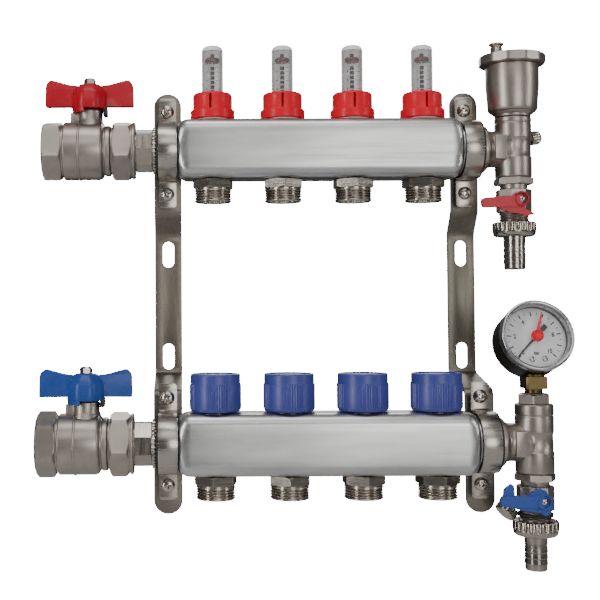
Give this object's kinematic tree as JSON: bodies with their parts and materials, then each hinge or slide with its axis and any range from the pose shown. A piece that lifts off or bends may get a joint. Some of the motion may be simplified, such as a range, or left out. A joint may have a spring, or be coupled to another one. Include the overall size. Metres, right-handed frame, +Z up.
{
  "type": "underfloor heating manifold",
  "caption": "Wall-hung underfloor heating manifold: two steel bars with flow meters, return caps, ball valves, air vent, gauge and drain valves on cranked brackets.",
  "frame": {"origin": "on the wall plane, midway between the loop ports along X and midway between the two bars in height", "axes": "+X along the bars to the gauge end, +Y into the wall, +Z up"},
  "size_m": [0.3617, 0.0885, 0.3666],
  "materials": {
    "stainless_bar": "brushed stainless steel",
    "bracket_steel": "zinc-plated steel strip, bright and slightly warm",
    "clamp_steel": "bright plated steel strap",
    "nickel_brass": "satin nickel plate on cast and turned brass",
    "chrome_ball": "polished chrome plate",
    "brass": "plain turned brass",
    "red_plastic": "bright red moulded plastic",
    "red_handle": "red coated die-cast",
    "blue_handle": "blue coated die-cast",
    "blue_cap": "ribbed blue moulded plastic",
    "clear_tube": "clear moulded sight glass",
    "float_red": "red and black float",
    "black_plastic": "black moulded plastic",
    "gauge_case": "black gauge case with a grey bezel"
  },
  "bodies": {
    "frame": {"air_vent_housing": "nickel_brass", "bracket_left": "bracket_steel", "bracket_right": "bracket_steel", "flow_bar": "stainless_bar", "flow_clamp_left": "clamp_steel", "flow_clamp_right": "clamp_steel", "flow_drain_body": "nickel_brass", "flow_end_tee": "nickel_brass", "flow_hose_tail": "nickel_brass", "flow_port_1": "nickel_brass", "flow_port_2": "nickel_brass", "flow_port_3": "nickel_brass", "flow_port_4": "nickel_brass", "flow_union_tail": "nickel_brass", "flow_valve_body": "nickel_brass", "gauge_case": "gauge_case", "gauge_socket": "brass", "return_bar": "stainless_bar", "return_clamp_left": "clamp_steel", "return_clamp_right": "clamp_steel", "return_drain_body": "nickel_brass", "return_end_tee": "nickel_brass", "return_hose_tail": "nickel_brass", "return_port_1": "nickel_brass", "return_port_2": "nickel_brass", "return_port_3": "nickel_brass", "return_port_4": "nickel_brass", "return_union_tail": "nickel_brass", "return_valve_body": "nickel_brass", "sight_tube_1": "clear_tube", "sight_tube_2": "clear_tube", "sight_tube_3": "clear_tube", "sight_tube_4": "clear_tube"},
    "flow_valve_turn_body": {"flow_valve_handle": "red_handle", "flow_valve_ball": "chrome_ball"},
    "flow_union_nut_spin_body": {"flow_union_nut": "nickel_brass"},
    "flow_drain_turn_body": {"flow_drain_lever": "red_handle"},
    "flow_hose_nut_spin_body": {"flow_hose_nut": "nickel_brass"},
    "return_valve_turn_body": {"return_valve_handle": "blue_handle", "return_valve_ball": "chrome_ball"},
    "return_union_nut_spin_body": {"return_union_nut": "nickel_brass"},
    "return_drain_turn_body": {"return_drain_lever": "blue_handle"},
    "return_hose_nut_spin_body": {"return_hose_nut": "nickel_brass"},
    "flow_meter_turn_1_body": {"flow_meter_collar_1": "red_plastic"},
    "float_slide_1_body": {"flow_float_1": "float_red"},
    "return_cap_turn_1_body": {"return_cap_1": "blue_cap"},
    "flow_meter_turn_2_body": {"flow_meter_collar_2": "red_plastic"},
    "float_slide_2_body": {"flow_float_2": "float_red"},
    "return_cap_turn_2_body": {"return_cap_2": "blue_cap"},
    "flow_meter_turn_3_body": {"flow_meter_collar_3": "red_plastic"},
    "float_slide_3_body": {"flow_float_3": "float_red"},
    "return_cap_turn_3_body": {"return_cap_3": "blue_cap"},
    "flow_meter_turn_4_body": {"flow_meter_collar_4": "red_plastic"},
    "float_slide_4_body": {"flow_float_4": "float_red"},
    "return_cap_turn_4_body": {"return_cap_4": "blue_cap"},
    "vent_cap_turn_body": {"air_vent_dust_cap": "nickel_brass"},
    "vent_float_slide_body": {"air_vent_float": "black_plastic"},
    "bleed_screw_turn_body": {"bleed_screw": "nickel_brass"},
    "gauge_pointer_turn_body": {"gauge_pointer": "black_plastic"},
    "gauge_marker_turn_body": {"gauge_marker": "red_plastic"}
  },
  "joints": [
    {"name": "flow_valve_turn", "type": "hinge", "parent": "frame", "child": "flow_valve_turn_body", "pos_m": [-0.1628, -0.034, 0.102], "axis": [0, 0, 1], "range_deg": [0, 90]},
    {"name": "flow_union_nut_spin", "type": "hinge", "parent": "frame", "child": "flow_union_nut_spin_body", "pos_m": [-0.138, -0.034, 0.102], "axis": [1, 0, 0], "continuous": true},
    {"name": "flow_drain_turn", "type": "hinge", "parent": "frame", "child": "flow_drain_turn_body", "pos_m": [0.1395, -0.034, 0.0647], "axis": [0, 1, 0], "range_deg": [0, 90]},
    {"name": "flow_hose_nut_spin", "type": "hinge", "parent": "frame", "child": "flow_hose_nut_spin_body", "pos_m": [0.1395, -0.034, 0.0445], "axis": [0, 0, 1], "continuous": true},
    {"name": "return_valve_turn", "type": "hinge", "parent": "frame", "child": "return_valve_turn_body", "pos_m": [-0.1628, -0.066, -0.102], "axis": [0, 0, 1], "range_deg": [0, 90]},
    {"name": "return_union_nut_spin", "type": "hinge", "parent": "frame", "child": "return_union_nut_spin_body", "pos_m": [-0.138, -0.066, -0.102], "axis": [1, 0, 0], "continuous": true},
    {"name": "return_drain_turn", "type": "hinge", "parent": "frame", "child": "return_drain_turn_body", "pos_m": [0.141, -0.066, -0.1393], "axis": [0, 1, 0], "range_deg": [0, 90]},
    {"name": "return_hose_nut_spin", "type": "hinge", "parent": "frame", "child": "return_hose_nut_spin_body", "pos_m": [0.141, -0.066, -0.1595], "axis": [0, 0, 1], "continuous": true},
    {"name": "flow_meter_turn_1", "type": "hinge", "parent": "frame", "child": "flow_meter_turn_1_body", "pos_m": [-0.075, -0.034, 0.132], "axis": [0, 0, 1], "range_deg": [0, 720]},
    {"name": "float_slide_1", "type": "slide", "parent": "frame", "child": "float_slide_1_body", "axis": [0, 0, -1], "range_m": [0, 0.022], "stiffness_N_per_m": 20, "springref_m": -0.01},
    {"name": "return_cap_turn_1", "type": "hinge", "parent": "frame", "child": "return_cap_turn_1_body", "pos_m": [-0.075, -0.066, -0.069], "axis": [0, 0, 1], "range_deg": [0, 720]},
    {"name": "flow_meter_turn_2", "type": "hinge", "parent": "frame", "child": "flow_meter_turn_2_body", "pos_m": [-0.025, -0.034, 0.132], "axis": [0, 0, 1], "range_deg": [0, 720]},
    {"name": "float_slide_2", "type": "slide", "parent": "frame", "child": "float_slide_2_body", "axis": [0, 0, -1], "range_m": [0, 0.022], "stiffness_N_per_m": 20, "springref_m": -0.01},
    {"name": "return_cap_turn_2", "type": "hinge", "parent": "frame", "child": "return_cap_turn_2_body", "pos_m": [-0.025, -0.066, -0.069], "axis": [0, 0, 1], "range_deg": [0, 720]},
    {"name": "flow_meter_turn_3", "type": "hinge", "parent": "frame", "child": "flow_meter_turn_3_body", "pos_m": [0.025, -0.034, 0.132], "axis": [0, 0, 1], "range_deg": [0, 720]},
    {"name": "float_slide_3", "type": "slide", "parent": "frame", "child": "float_slide_3_body", "axis": [0, 0, -1], "range_m": [0, 0.022], "stiffness_N_per_m": 20, "springref_m": -0.01},
    {"name": "return_cap_turn_3", "type": "hinge", "parent": "frame", "child": "return_cap_turn_3_body", "pos_m": [0.025, -0.066, -0.069], "axis": [0, 0, 1], "range_deg": [0, 720]},
    {"name": "flow_meter_turn_4", "type": "hinge", "parent": "frame", "child": "flow_meter_turn_4_body", "pos_m": [0.075, -0.034, 0.132], "axis": [0, 0, 1], "range_deg": [0, 720]},
    {"name": "float_slide_4", "type": "slide", "parent": "frame", "child": "float_slide_4_body", "axis": [0, 0, -1], "range_m": [0, 0.022], "stiffness_N_per_m": 20, "springref_m": -0.01},
    {"name": "return_cap_turn_4", "type": "hinge", "parent": "frame", "child": "return_cap_turn_4_body", "pos_m": [0.075, -0.066, -0.069], "axis": [0, 0, 1], "range_deg": [0, 720]},
    {"name": "vent_cap_turn", "type": "hinge", "parent": "frame", "child": "vent_cap_turn_body", "pos_m": [0.1286, -0.034, 0.175], "axis": [0, 0, 1], "range_deg": [0, 720]},
    {"name": "vent_float_slide", "type": "slide", "parent": "frame", "child": "vent_float_slide_body", "axis": [0, 0, 1], "range_m": [0, 0.01]},
    {"name": "bleed_screw_turn", "type": "hinge", "parent": "frame", "child": "bleed_screw_turn_body", "pos_m": [0.1395, -0.034, 0.108], "axis": [0.9404, 0.3001, 0.1601], "range_deg": [0, 720]},
    {"name": "gauge_pointer_turn", "type": "hinge", "parent": "frame", "child": "gauge_pointer_turn_body", "pos_m": [0.141, -0.066, -0.0328], "axis": [0, 0.9563, -0.2924], "range_deg": [0, 270]},
    {"name": "gauge_marker_turn", "type": "hinge", "parent": "frame", "child": "gauge_marker_turn_body", "pos_m": [0.141, -0.066, -0.0328], "axis": [0, 0.9563, -0.2924], "range_deg": [-153, 117]}
  ]
}
